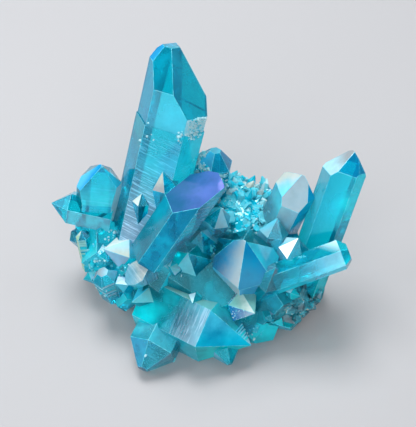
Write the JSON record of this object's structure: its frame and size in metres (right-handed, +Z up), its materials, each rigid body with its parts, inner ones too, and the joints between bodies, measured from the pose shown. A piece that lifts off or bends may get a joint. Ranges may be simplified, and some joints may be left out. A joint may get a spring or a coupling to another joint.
{
  "type": "aura quartz cluster",
  "caption": "Cluster of six-sided clear blue-green quartz points with pearly faces, grown together on a stone core that is flat underneath and stands as an ornament.",
  "frame": {"origin": "middle of the cluster's bounding box at its flat underside", "axes": "+X to the viewer's right along the widest extent, +Y away from the viewer towards the side the tall point leans to, +Z up"},
  "size_m": [0.0972, 0.074, 0.0781],
  "materials": {
    "aura_quartz": "polished, clear blue-green with a pearly coating"
  },
  "bodies": {
    "root": {"quartz_cluster": "aura_quartz"}
  },
  "joints": []
}
